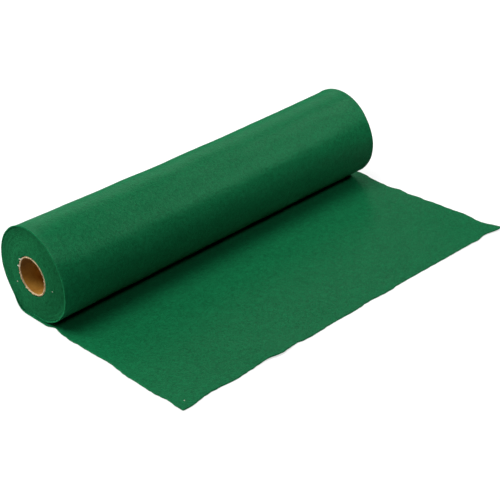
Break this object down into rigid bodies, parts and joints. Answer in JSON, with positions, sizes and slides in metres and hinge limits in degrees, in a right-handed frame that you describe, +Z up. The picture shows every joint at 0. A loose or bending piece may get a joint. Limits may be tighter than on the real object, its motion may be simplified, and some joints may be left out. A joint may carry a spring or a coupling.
{
  "type": "roll of felt",
  "caption": "Wound roll of green craft felt on an open cardboard core, lying on its side with the free end laid out flat in front.",
  "frame": {"origin": "on the surface that the roll lies on, straight under the middle of the roll's axis, on the underside of the felt's loose end where it passes beneath the roll", "axes": "+X along the roll, from the end whose core shows in the picture to the far end; +Z up; the loose end runs out toward -Y"},
  "size_m": [0.4633, 0.2724, 0.1023],
  "materials": {
    "core_card": "matt spiral-wound kraft board with a paler cut rim",
    "felt": "matt deep green needled craft felt with short random fibres"
  },
  "bodies": {
    "root": {"core_tube": "core_card", "felt_roll": "felt", "loose_end": "felt"}
  },
  "joints": []
}
